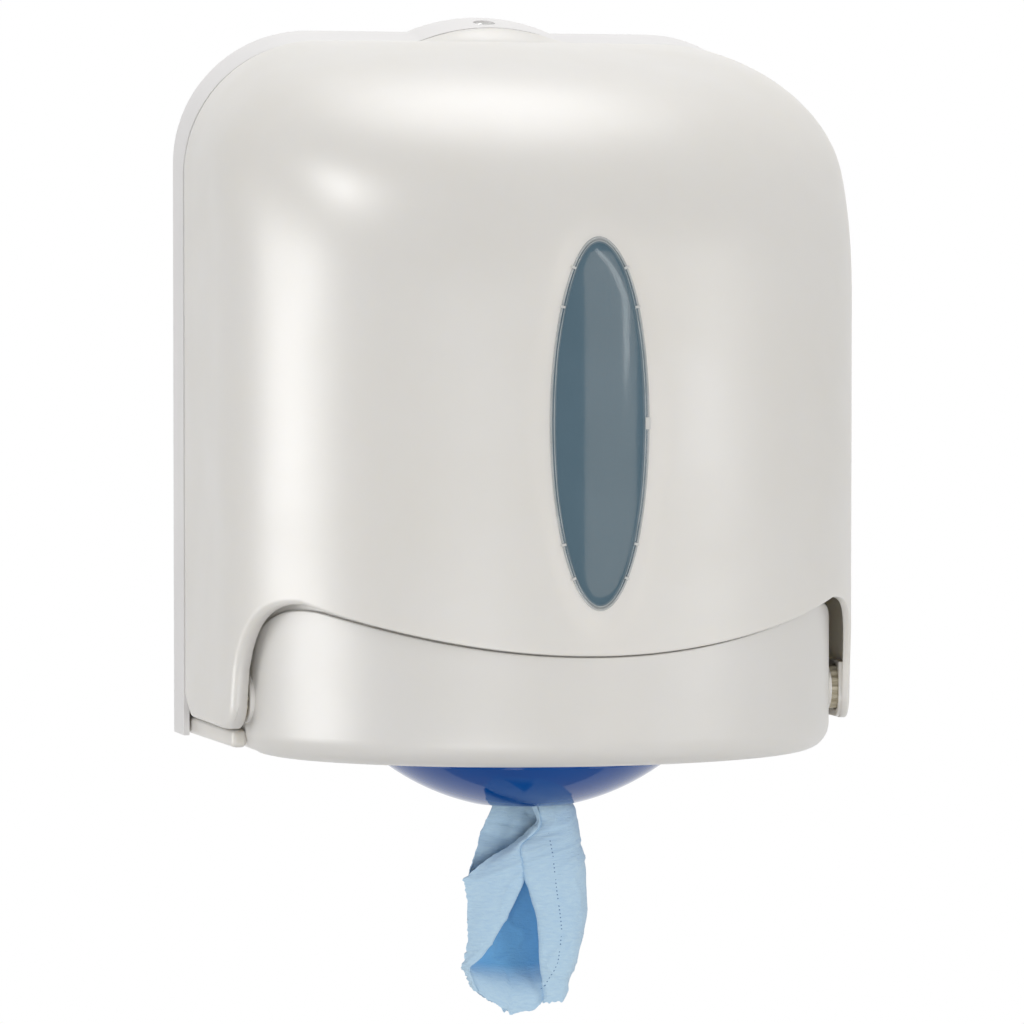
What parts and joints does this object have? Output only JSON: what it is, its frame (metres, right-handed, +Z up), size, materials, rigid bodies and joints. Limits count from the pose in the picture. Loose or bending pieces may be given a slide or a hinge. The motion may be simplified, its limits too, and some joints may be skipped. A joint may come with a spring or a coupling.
{
  "type": "wall wipes dispenser",
  "caption": "Wall dispenser for a centre-pull roll of workshop wipes: hinged domed cover with a window, tray, turning blue nozzle dome and cam lock.",
  "frame": {"origin": "middle of the pattern of wall screws, on the rear face of the back plate, 160 mm above its bottom edge", "axes": "+Y into the wall, -Y to the front, +Z up, +X to the right seen from the front"},
  "size_m": [0.3, 0.23, 0.4721],
  "materials": {
    "case_white": "satin, fine grain",
    "plate_white": "satin",
    "hub_cream": "plain moulded",
    "lens_smoke": "clear smoked, polished",
    "retainer_white": "plain moulded",
    "dome_blue": "polished",
    "wipe_blue": "soft crepe",
    "lock_grey": "plain moulded",
    "zinc_steel": "zinc plated"
  },
  "bodies": {
    "base": {"back_plate": "plate_white", "tray": "case_white", "tray_screw_1": "zinc_steel", "tray_screw_2": "zinc_steel", "tray_screw_3": "zinc_steel", "tray_screw_4": "zinc_steel", "hinge_hub_left": "hub_cream", "hinge_hub_right": "hub_cream", "hinge_screw_left": "zinc_steel", "hinge_screw_right": "zinc_steel", "wipes_roll": "wipe_blue", "hanging_wipe": "wipe_blue", "lock_housing": "lock_grey", "housing_screw_1": "zinc_steel", "housing_screw_2": "zinc_steel"},
    "cover": {"cover": "case_white", "window_lens": "lens_smoke", "window_retainer": "retainer_white", "latch_catch": "lock_grey", "catch_screw_1": "zinc_steel", "catch_screw_2": "zinc_steel"},
    "lock": {"lock_barrel": "lock_grey", "lock_cam": "zinc_steel", "cam_screw": "zinc_steel"},
    "nozzle": {"nozzle_bowl": "dome_blue"}
  },
  "joints": [
    {"name": "cover_hinge", "type": "hinge", "parent": "base", "child": "cover", "pos_m": [0, -0.118, -0.1355], "axis": [1, 0, 0], "range_deg": [0, 95]},
    {"name": "lock_turn", "type": "hinge", "parent": "base", "child": "lock", "pos_m": [0, -0.0125, 0.1736], "axis": [0, 0, 1], "range_deg": [0, 90]},
    {"name": "nozzle_turn", "type": "hinge", "parent": "base", "child": "nozzle", "pos_m": [0, -0.09, -0.16], "axis": [0, 0, 1], "range_deg": [0, 30]}
  ]
}
